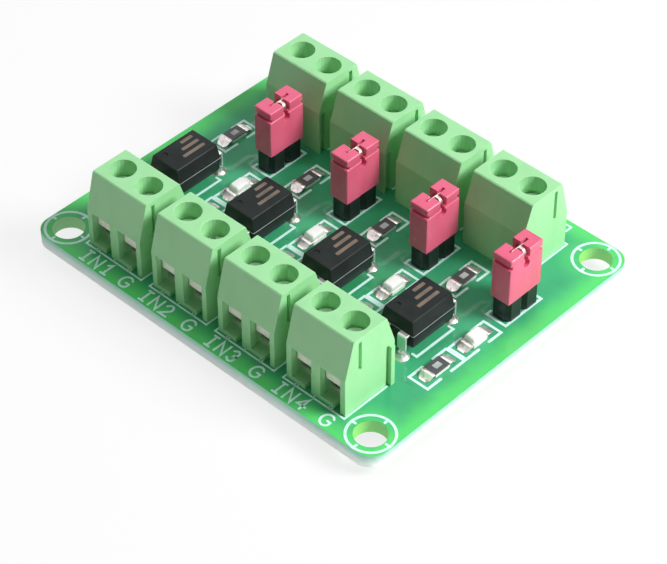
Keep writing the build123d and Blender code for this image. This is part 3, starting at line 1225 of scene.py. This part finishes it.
@dataclass
class ScrewTerminals:
    """The two rows of screw terminals with their screws, plates and contacts."""

    rows: tuple[str, ...] = ("in", "out")
    count: int = 4
    soft: float = 0.1
    plate_soft: float = 0.05
    radius: float = 1.25
    faces: int = 40
    thread: float = 0.45
    crest: float = 0.02
    root: float = 0.2
    root_up: float = 0.22
    point: tuple[Point, ...] = ((0.25, 0.0), (0.04, 0.2))
    thread_low: float = 0.3
    thread_end: float = 0.6
    collar: float = 0.25
    slot_w: float = 0.5
    slot_d: float = 0.6
    slot_flare: float = 0.4
    rounding: tuple[Point, ...] = ((0.0, 0.18), (0.05, 0.05), (0.16, 0.0))
    turns: tuple[tuple[float, ...], ...] = ((35.0, 80.0, 12.0, 60.0), (105.0, 150.0, 20.0, 48.0))

    def build(self, frame: dict[str, Any]) -> None:
        """Dress the housings, contacts and plates, and make the screws.

        Args:
            frame: the loaded CAD frame.
        """
        nodes = frame["nodes"]
        for row in self.rows:
            for i in range(1, self.count + 1):
                dress(nodes[f"housing_{row}_{i}"], TERMINAL, self.soft)
                for pole, turns in zip("ab", self.turns):
                    dress(nodes[f"plate_{row}_{i}{pole}"], PLATE, self.plate_soft)
                    self.screw(f"screw_{row}_{i}{pole}", turns[i - 1])
        dress(nodes["terminal_contacts"], CONTACT)

    def screw(self, node: str, turn: float) -> None:
        """Make one screw with a threaded shank and a rounded, slotted end.

        Args:
            node: the CAD node that it replaces, which is also its body.
            turn: how far its slot is turned at rest, in degrees.
        """
        centre, bottom, top = middle(node)
        base = top - self.slot_d
        crest = self.radius - self.crest
        profile = [(self.radius - inset, bottom + up) for inset, up in self.point]
        height = bottom + self.thread_low
        while height < base - self.thread_end:
            profile += [(crest, height), (self.radius - self.root, height + self.root_up)]
            height += self.thread
        profile += [(crest, base - self.collar), (crest, base)]
        shape = Shape()
        shape.lathe(profile, (*centre, 0.0), steps=self.faces)
        for side in (1, -1):
            shape.stack(self.lug(centre, top, math.radians(turn), side))
        piece = shape.make(node.replace("screw", "clamp_screw"), SCREW, node)
        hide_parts(node)

    def lug(self, centre: Point, top: float, turn: float, side: int) -> list[list[Triple]]:
        """Draw the half of a screw's end on one side of its slot.

        Args:
            centre: the screw's middle.
            top: the height of the screw's end.
            turn: how far the slot is turned, in radians.
            side: 1 or -1, for the side of the slot.

        Returns:
            Its rows of points, from the slot's floor up.
        """
        half = self.slot_w / 2
        edge = math.asin(half / self.radius)
        start = edge if side > 0 else edge + math.pi
        span = [start + (math.pi - 2 * edge) * k / 20 for k in range(21)]
        turned = Matrix.Rotation(turn, 2)
        rows = []
        for inset, down in ((0.0, self.slot_d), *self.rounding):
            gap = half + inset * self.slot_flare
            row = []
            for t in span:
                point = Vector((math.cos(t), math.sin(t))) * (self.radius - self.crest - inset)
                point.y = side * max(side * point.y, gap)
                point = turned @ point
                row.append((centre[0] + point.x, centre[1] + point.y, top - down))
            rows.append(row)
        return rows


@dataclass
class Optocouplers:
    """The four black optocouplers with their leads."""

    count: int = 4
    half: Point = (2.3, 3.25)
    foot_in: float = 0.16
    split: float = 1.75
    top_half: Point = (1.9, 3.05)
    shoulder: Point = (0.03, 0.02)
    edge: float = 0.12
    edge_share: float = 0.3
    corner: float = 0.16
    flash: float = 0.035
    seam_in: float = 0.15
    seam_corner: float = 0.14
    dimple_at: Point = (-1.0, -2.1)
    dimple_r: float = 0.45
    dimple_floor: float = 0.8
    dimple_depth: float = 0.1
    bars: tuple[Triple, ...] = ((-1.15, 0.5, 2.2), (-0.2, -0.2, 2.25), (0.75, -0.9, 2.25))
    bar_w: float = 0.44
    bar_corner: float = 0.12
    bar_sink: float = 0.01
    bar_up: float = 0.006
    lead_soft: float = 0.05

    def build(self, frame: dict[str, Any]) -> None:
        """Make the bodies with their seams, whose light grey is a painted highlight, and their
        stamps, and dress the leads.

        Args:
            frame: the loaded CAD frame.
        """
        for i in range(1, self.count + 1):
            centre, foot, top = middle(f"opto_{i}")
            self.body(i, centre, foot, top)
            self.seam(i, centre, foot + self.split)
            self.stamp(i, centre, top)
        dress(frame["nodes"]["opto_leads"], LEAD, self.lead_soft)

    def body(self, number: int, centre: Point, foot: float, top: float) -> None:
        """Make one body of two drafted halves, with a dimple at its first lead.

        Args:
            number: which body it is, from 1.
            centre: its middle.
            foot: the height of its underside.
            top: the height of its top face.
        """
        wide, long = self.half
        short, brief = self.top_half
        low_x, low_y = wide - self.foot_in, long - self.foot_in
        edge, part = self.edge, self.edge * self.edge_share
        steps = [
            (foot, low_x - edge, low_y - edge),
            (foot + part, low_x - part, low_y - part),
            (foot + edge, low_x, low_y),
            (foot + self.split, wide - self.flash, long - self.flash),
            (top - edge, short + self.shoulder[0], brief + self.shoulder[1]),
            (top - part, short - part, brief - part),
            (top, short - edge, brief - edge),
        ]
        shape = Shape()
        shape.stack(levels(centre, steps, self.corner))
        spot = (centre[0] + self.dimple_at[0], centre[1] + self.dimple_at[1], top)
        floor = (self.dimple_r * self.dimple_floor, -self.dimple_depth)
        tool = Shape()
        tool.lathe([floor, (self.dimple_r, self.dimple_depth)], spot, steps=32)
        shape.carve(tool)
        piece = shape.make(f"opto_body_{number}", EPOXY, Body.BOARD.value, smooth=24.0)
        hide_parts(f"opto_{number}")

    def seam(self, number: int, centre: Point, height: float) -> None:
        """Make the thin line where one body's two halves meet, light grey as a painted highlight.

        Args:
            number: which body it belongs to, from 1.
            centre: the body's middle.
            height: the height of the seam.
        """
        wide, long = self.half
        rim = self.flash / 2
        within = (wide - self.seam_in, long - self.seam_in)
        inner = rounded(centre, within, self.seam_corner)
        outer = rounded(centre, self.half, self.corner)
        shape = Shape()
        shape.ring(inner, outer, height - rim, height + rim)
        # The seam ridge is real; its light grey finish is a painted highlight
        shape.make(f"opto_seam_{number}", SEAM_HIGHLIGHT, Body.BOARD.value)

    def stamp(self, number: int, centre: Point, top: float) -> None:
        """Lay three plain bars on one body's top.

        Args:
            number: which body it is, from 1.
            centre: the body's middle.
            top: the height of its top face.
        """
        shape = Shape()
        for x, low, high in self.bars:
            spot = (centre[0] + x, centre[1] + (low + high) / 2)
            outline = rounded(spot, (self.bar_w / 2, (high - low) / 2), self.bar_corner)
            shape.prism(outline, top - self.bar_sink, top + self.bar_up)
        shape.make(f"opto_stamp_{number}", STAMP, Body.BOARD.value)


@dataclass
class CapClip:
    """The metal clip inside a jumper cap, with heights above the clip's foot."""

    sleeve_in: float = 0.36
    sleeve_out: float = 0.7
    sleeve_h: float = 4.0
    sleeve_corners: Point = (0.05, 0.1)
    arch_half: float = 1.1
    leg: float = 0.25
    arch_low: float = 3.9
    arch_under: float = 4.7
    arch_bend: float = 5.15
    strip: float = 0.14
    curl_at: Point = (0.36, 4.88)
    curl_r: float = 0.5
    curl_end: float = -10.0
    tongue_t: float = 0.1
    tongue_tip: Point = (0.6, 3.95)
    tongue_ys: Point = (-0.04, 0.34)

    def build(self, number: int) -> None:
        """Make one clip of two sleeves, an arched strip and a curled tongue.

        Args:
            number: which cap it belongs to, from 1.
        """
        node = f"cap_clip_{number}"
        (x, y), foot, _ = middle(node)
        shape = Shape()
        for way in (-1, 1):
            pin = (x, y + way * PLAN.pitch / 2)
            inner = rounded(pin, (self.sleeve_in, self.sleeve_in), self.sleeve_corners[0])
            outer = rounded(pin, (self.sleeve_out, self.sleeve_out), self.sleeve_corners[1])
            shape.ring(inner, outer, foot, foot + self.sleeve_h)
        shape.prism(self.arch(y, foot), x - self.strip / 2, x + self.strip / 2, axis=0)
        near, far = self.tongue_ys
        shape.prism(self.tongue(x, foot), y + near, y + far, axis=1)
        piece = shape.make(f"cap_spring_{number}", CLIP, f"cap_{number}", smooth=34.0)
        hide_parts(node)

    def arch(self, y: float, foot: float) -> list[Point]:
        """Draw the strip that joins the sleeves.

        Args:
            y: its middle.
            foot: the height of the clip's foot.

        Returns:
            Its outline in Y and Z.
        """
        half, inside = self.arch_half, self.arch_half - self.leg
        low, under, bend = foot + self.arch_low, foot + self.arch_under, foot + self.arch_bend
        return [
            (y - half, low),
            *arc((y - inside, bend), self.leg, 180, 90, 5),
            *arc((y + inside, bend), self.leg, 90, 0, 5),
            (y + half, low),
            (y + inside, low),
            (y + inside, under),
            (y - inside, under),
            (y - inside, low),
        ]

    def tongue(self, x: float, foot: float) -> list[Point]:
        """Draw the tongue that curls over and down from the strip.

        Args:
            x: the middle of the strip.
            foot: the height of the clip's foot.

        Returns:
            Its outline in X and Z.
        """
        curl = (x + self.curl_at[0], foot + self.curl_at[1])
        outer, inner = self.curl_r, self.curl_r - self.tongue_t
        tip, low = x + self.tongue_tip[0], foot + self.tongue_tip[1]
        return [
            (x, curl[1] + outer),
            *arc(curl, outer, 90, self.curl_end, 8),
            (tip, low),
            (tip - self.tongue_t, low),
            *arc(curl, inner, self.curl_end, 90, 8),
            (x, curl[1] + inner),
        ]


@dataclass
class JumperHeaders:
    """The pin headers and the pull-off caps on them, with heights above a cap's foot."""

    count: int = 4
    base_soft: float = 0.06
    pin_soft: float = 0.04
    cap_soft: float = 0.035
    half: Point = (1.25, 2.55)
    corner: float = 0.12
    edge: float = 0.07
    edge_share: float = 0.7
    ledge: float = 4.8
    neck: float = 0.42
    neck_in: float = 0.36
    side_in: float = 0.05
    head_in: float = 0.04
    notch: float = 1.15
    notch_low: float = 4.8
    slot: float = 0.5
    groove: float = 0.96
    groove_low: float = 5.0
    slot_low: float = 4.32
    eye_r: float = 0.48
    slit: Point = (0.36, 2.9)
    slit_depth: float = 1.0
    pocket: float = 1.5
    pocket_depth: float = 5.45
    web: float = 0.5
    web_drop: float = 0.05
    over: float = 0.1
    lap: float = 0.01

    def build(self, frame: dict[str, Any]) -> None:
        """Dress the bases and pins, and make the caps with their clips.

        Args:
            frame: the loaded CAD frame.
        """
        nodes = frame["nodes"]
        dress(nodes["header_bases"], HEADER, self.base_soft)
        dress(nodes["header_pins"], PIN, self.pin_soft)
        clip = CapClip()
        for i in range(1, self.count + 1):
            self.shell(i)
            clip.build(i)

    def shell(self, number: int) -> None:
        """Make one cap: a box with a ledge, a neck, a flush head and its slots.

        Args:
            number: which cap it is, from 1.
        """
        node = f"cap_shell_{number}"
        centre, foot, top = middle(node)
        wide, long = self.half
        ledge = foot + self.ledge
        neck_top = ledge + self.neck
        edge = self.edge
        neck = (wide - self.side_in, long - self.neck_in)
        head = (wide - self.side_in / 2, long - self.head_in)
        steps = [
            (foot, wide - edge, long - edge),
            (foot + edge, wide, long),
            (ledge - edge, wide, long),
            (ledge, wide - edge * self.edge_share, long - edge * self.edge_share),
            (ledge, *neck),
            (neck_top, *neck),
            (neck_top + edge, *head),
            (top - edge, *head),
            (top, wide - self.side_in - edge, long - self.head_in - edge),
        ]
        shape = Shape()
        shape.stack(levels(centre, steps, self.corner))
        shape.carve(self.openings(centre, foot, top))
        piece = shape.make(f"jumper_cap_{number}", CAP, f"cap_{number}", smooth=24.0)
        soften(piece, self.cap_soft)
        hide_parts(node)

    def openings(self, centre: Point, foot: float, top: float) -> Shape:
        """Gather what is cut out of a cap.

        Each cutter reaches past the cap by its own share, so that no two faces coincide.

        Args:
            centre: the cap's middle.
            foot: the height of its foot.
            top: the height of its top.

        Returns:
            The notch, slot, groove, eye, slit and pin pockets as one cutter.
        """
        x, y = centre
        over, lap = self.over, self.lap
        wide = self.half[0] + over
        thin, length = self.slit[0] / 2, self.slit[1] / 2
        depth = foot + self.pocket_depth
        web = self.web / 2
        cuts = [
            (-wide, 2 * lap, self.notch / 2, foot + self.notch_low, top + 3 * over),
            (0.0, wide, self.slot / 2, foot + self.slot_low, top + 4 * over),
            (-lap, wide + over / 2, self.groove / 2, foot + self.groove_low, top + 5 * over),
            (-thin, thin, length, top - self.slit_depth, top + 6 * over),
            (-web, web, PLAN.pitch / 2, foot - 2 * over, depth - self.web_drop),
        ]
        tool = Shape()
        for left, right, half, low, high in cuts:
            tool.box((x + left, y - half, low), (x + right, y + half, high))
        eye = circle((y, foot + self.slot_low), self.eye_r, steps=24)
        tool.prism(eye, x - lap, x + wide + over, axis=0)
        half = self.pocket / 2
        for way in (-1, 1):
            pin = y + way * PLAN.pitch / 2
            tool.box((x - half, pin - half, foot - 3 * over), (x + half, pin + half, depth))
        return tool


@dataclass
class ChipParts:
    """The chip resistors and lamps, without their metal ends."""

    core_soft: float = 0.05
    base: Point = (0.8, 1.1)
    base_h: float = 0.44
    base_edge: float = 0.03
    corner: float = 0.2
    lens: Point = (0.72, 1.02)
    lens_h: float = 1.1
    dome_steps: int = 8
    dome_end: float = 84.0
    dome_draw: float = 0.45
    mark: Point = (0.34, 0.46)
    mark_at: float = 0.553
    mark_sink: float = 0.02
    mark_up: float = 0.008
    mark_corner: float = 0.06

    def build(self, frame: dict[str, Any]) -> None:
        """Dress the resistor cores and make the lamps and the resistors' plain marks.

        Args:
            frame: the loaded CAD frame.
        """
        dress(frame["nodes"]["resistors"], CHIP, self.core_soft)
        lamps, marks = Shape(), Shape()
        level = PLAN.top + self.mark_at
        for x in PLAN.channel_xs:
            self.lens_on_base(lamps, (x + PLAN.lamp[0], PLAN.lamp[1]))
            for at in PLAN.resistors:
                outline = rounded((x + at[0], at[1]), self.mark, self.mark_corner)
                marks.prism(outline, level - self.mark_sink, level + self.mark_up)
        marks.make("resistor_marks", MARK, Body.BOARD.value)
        piece = lamps.make("lamp_lenses", LENS, Body.BOARD.value, smooth=50.0)
        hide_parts("lamps")

    def lens_on_base(self, shape: Shape, at: Point) -> None:
        """Add one lamp: a flat base and a lens with a domed top.

        Args:
            shape: the shape that takes it.
            at: its middle.
        """
        base_x, base_y = self.base
        lens_x, lens_y = self.lens
        foot, edge = PLAN.top, self.base_edge
        shelf = foot + self.base_h
        steps = [
            (foot, base_x, base_y),
            (shelf - edge, base_x, base_y),
            (shelf, base_x - edge, base_y - edge),
        ]
        for i in range(self.dome_steps):
            turn = math.radians(self.dome_end * i / (self.dome_steps - 1))
            shrink = 1 - self.dome_draw * (1 - math.cos(turn)) ** 1.5
            height = shelf + (self.lens_h - self.base_h) * math.sin(turn)
            steps.append((height, lens_x * shrink, lens_y * shrink))
        shape.stack(levels(at, steps, self.corner))


@dataclass
class SolderWork:
    """Every solder joint and the metal ends of the chip parts.

    A joint's size is its radius at the board, its height and its radius at the tip.
    """

    lead_joint: Triple = (0.875, 0.84, 0.42)
    header_joint: Triple = (0.875, 0.84, 0.45)
    terminal_joint: Triple = (1.05, 0.88, 0.66)
    skirt: float = 0.03
    crown: float = 0.02
    crown_in: float = 0.72
    curve_steps: int = 8
    chip_l: float = 3.2
    chip_w: float = 1.6
    chip_h: float = 0.55
    chip_end: float = 0.5
    toe: float = 0.7
    toe_h: float = 0.42
    taper: float = 0.75

    def build(self, frame: dict[str, Any]) -> None:
        """Make the joints of the pins and leads and the ends of the chip parts.

        Args:
            frame: the loaded CAD frame, which this part doesn't use.
        """
        joints = Shape()
        half_pitch = PLAN.pitch / 2
        for x in PLAN.channel_xs:
            for sx in (-1, 1):
                lead_x = x + PLAN.opto[0] + sx * half_pitch
                for sy in (-1, 1):
                    at = (lead_x, PLAN.opto[1] + sy * PLAN.opto_span / 2)
                    for side in Side:
                        self.joint(joints, at, side, self.lead_joint)
            for sy in (-1, 1):
                at = (x + PLAN.header[0], PLAN.header[1] + sy * half_pitch)
                self.joint(joints, at, Side.UNDER, self.header_joint)
        for row_y, row_x in zip(PLAN.row_ys, (0.0, PLAN.out_row_x)):
            for x in PLAN.block_xs:
                for pole in (-PLAN.pole, PLAN.pole):
                    at = (row_x + x + pole, row_y)
                    self.joint(joints, at, Side.UNDER, self.terminal_joint)
        joints.make("solder_joints", SOLDER, Body.BOARD.value, smooth=60.0)
        ends = Shape()
        for x in PLAN.channel_xs:
            for chip in (*PLAN.resistors, PLAN.lamp):
                for way in (-1, 1):
                    self.end(ends, (x + chip[0], chip[1]), way)
        piece = ends.make("chip_metal_ends", SOLDER, Body.BOARD.value, smooth=40.0)
        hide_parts("solder_and_chip_ends")

    def joint(self, shape: Shape, at: Point, side: Side, size: Triple) -> None:
        """Add one joint: solder drawn up round a lead in a hollow curve.

        Args:
            shape: the shape that takes it.
            at: the lead's middle.
            side: the face of the board that it stands on.
            size: the joint's size.
        """
        level, up = side.value
        base, height, tip = size
        profile = [(base, 0.0), (base, self.skirt)]
        for i in range(1, self.curve_steps + 1):
            t = i / self.curve_steps
            radius = tip + (base - tip) * (1 - t) ** 1.9
            profile.append((radius, self.skirt + (height - self.skirt - self.crown) * t ** 1.15))
        profile.append((tip * self.crown_in, height))
        shape.lathe([(r, up * h) for r, h in profile], (*at, level))

    def end(self, shape: Shape, at: Point, way: int) -> None:
        """Add one metal end with its solder toe.

        Args:
            shape: the shape that takes it.
            at: the chip part's middle.
            way: 1 for the end towards +Y, or -1 for the other.
        """
        outer = self.chip_l / 2
        inner = outer - self.chip_end
        top = self.chip_h - 0.01
        profile = [(inner, 0.0), (inner, top - 0.03), (inner + 0.04, top)]
        profile += [(outer - 0.12, top), (outer - 0.03, top - 0.05)]
        for i in range(self.curve_steps + 1):
            t = i / self.curve_steps
            profile.append((outer + self.toe * t, self.skirt + self.toe_h * (1 - t) ** 1.5))
        profile.append((outer + self.toe, 0.0))
        half = [(-1.0, 0.86), (-0.985, 0.95), (-0.93, 1.0), (-0.5, 1.0)]
        stations = [*half, (0.0, 1.0), *((-a, b) for a, b in reversed(half))]
        rows = []
        for share, full in stations:
            across = way * share * self.chip_w / 2
            row = []
            for y, z in profile:
                beyond = max(0.0, (y - outer) / self.toe)
                narrow = math.sqrt(1 - self.taper * beyond ** 2)
                row.append((at[0] + across * narrow, at[1] + way * y, PLAN.top + z * full))
            rows.append(row)
        shape.stack(rows)


@dataclass(frozen=True)
class SoftLamp:
    """A square lamp: its place and size in metres and its power in watts."""

    name: str
    at: Triple
    size: float
    power: float

    def hang(self) -> None:
        """Hang the lamp so that it looks at the board's middle."""
        data = bpy.data.lights.new(self.name, "AREA")
        data.shape = "SQUARE"
        data.size = self.size
        data.energy = self.power
        lamp = bpy.data.objects.new(self.name, data)
        bpy.context.scene.collection.objects.link(lamp)
        lamp.location = self.at
        lamp.rotation_mode = "QUATERNION"
        lamp.rotation_quaternion = (-Vector(self.at)).to_track_quat("-Z", "Y")


@dataclass
class Studio:
    """The pale floor, the soft lamps and the camera."""

    floor_z: float = -1.3
    floor_half: float = 3.0
    floor_tone: float = 0.9
    floor_glow: float = 0.82
    camera_at: Triple = (0.13723, -0.14422, 0.18210)
    camera_way: Triple = (-0.50265, 0.52990, -0.68300)
    lens: float = 135.48
    film: float = 36.0
    near: float = 0.01
    world: float = 0.15
    lamps: tuple[SoftLamp, ...] = (
        SoftLamp("lamp_right", (0.335, 0.195, 0.315), 0.2, 3.02),
        SoftLamp("lamp_top", (-0.1, 0.05, 0.5), 0.35, 0.6),
    )

    def build(self) -> None:
        """Set up everything that isn't the object."""
        self.floor()
        self.sky()
        for lamp in self.lamps:
            lamp.hang()
        self.camera()
        bpy.context.scene.view_settings.view_transform = "Standard"

    def floor(self) -> None:
        """Lay a white floor that keeps the object's shadow."""
        half, z = self.floor_half, self.floor_z * MM
        outline = [(-half, -half, z), (half, -half, z), (half, half, z), (-half, half, z)]
        data = bpy.data.meshes.new("floor")
        data.from_pydata(outline, [], [(0, 1, 2, 3)])
        plane = bpy.data.objects.new("floor", data)
        bpy.context.scene.collection.objects.link(plane)
        bench = Bench("studio_floor")
        seen = bench.node("ShaderNodeLightPath", out="Is Camera Ray")
        rays = seen.socket.node.outputs
        for name in ("Is Glossy Ray", "Is Transmission Ray"):
            seen = seen.most(Flow(bench, rays[name]))
        grey = (self.floor_tone, self.floor_tone, self.floor_tone, 1.0)
        matt = bench.node("ShaderNodeBsdfDiffuse", {}, {"Color": grey})
        light = {"Color": (1.0, 1.0, 1.0, 1.0), "Strength": 1.0}
        glow = bench.node("ShaderNodeEmission", {}, light)
        shown = bench.node("ShaderNodeMixShader", {}, {0: self.floor_glow, 1: matt, 2: glow})
        both = bench.node("ShaderNodeMixShader", {}, {0: seen, 1: matt, 2: shown})
        bench.node("ShaderNodeOutputMaterial", {}, {"Surface": both})
        data.materials.append(bench.material)

    def sky(self) -> None:
        """Light the scene evenly, and show plain white to the camera and in gloss."""
        world = bpy.data.worlds.new("studio")
        bpy.context.scene.world = world
        world.use_nodes = True
        tree = world.node_tree
        tree.nodes.clear()
        rays = tree.nodes.new("ShaderNodeLightPath").outputs
        seen = rays["Is Camera Ray"]
        for name in ("Is Glossy Ray", "Is Transmission Ray"):
            most = tree.nodes.new("ShaderNodeMath")
            most.operation = "MAXIMUM"
            tree.links.new(seen, most.inputs[0])
            tree.links.new(rays[name], most.inputs[1])
            seen = most.outputs[0]
        soft = tree.nodes.new("ShaderNodeBackground")
        soft.inputs["Strength"].default_value = self.world
        plain = tree.nodes.new("ShaderNodeBackground")
        plain.inputs["Strength"].default_value = 1.0
        for shade in (soft, plain):
            shade.inputs["Color"].default_value = (1.0, 1.0, 1.0, 1.0)
        mix = tree.nodes.new("ShaderNodeMixShader")
        out = tree.nodes.new("ShaderNodeOutputWorld")
        tree.links.new(seen, mix.inputs[0])
        tree.links.new(soft.outputs[0], mix.inputs[1])
        tree.links.new(plain.outputs[0], mix.inputs[2])
        tree.links.new(mix.outputs[0], out.inputs[0])

    def camera(self) -> None:
        """Stand the camera where the photograph was taken from."""
        data = bpy.data.cameras.new("camera")
        data.sensor_width = self.film
        data.lens = self.lens
        data.clip_start = self.near
        camera = bpy.data.objects.new("camera", data)
        bpy.context.scene.collection.objects.link(camera)
        camera.location = self.camera_at
        camera.rotation_mode = "QUATERNION"
        camera.rotation_quaternion = Vector(self.camera_way).to_track_quat("-Z", "Y")
        bpy.context.scene.camera = camera


def main() -> None:
    """Build the visual model in order and log each piece of it."""
    logging.basicConfig(level=logging.INFO, format="%(name)s: %(message)s")
    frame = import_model()
    parts = [
        PrintedBoard(),
        ScrewTerminals(),
        Optocouplers(),
        JumperHeaders(),
        ChipParts(),
        SolderWork(),
    ]
    for part in parts:
        known = {piece.name for piece in bpy.data.objects}
        part.build(frame)
        for piece in bpy.data.objects:
            if piece.name not in known:
                log.info("%s made %s", type(part).__name__, piece.name)
    Studio().build()
    log.info("built the studio")


if __name__ == "__main__":
    main()
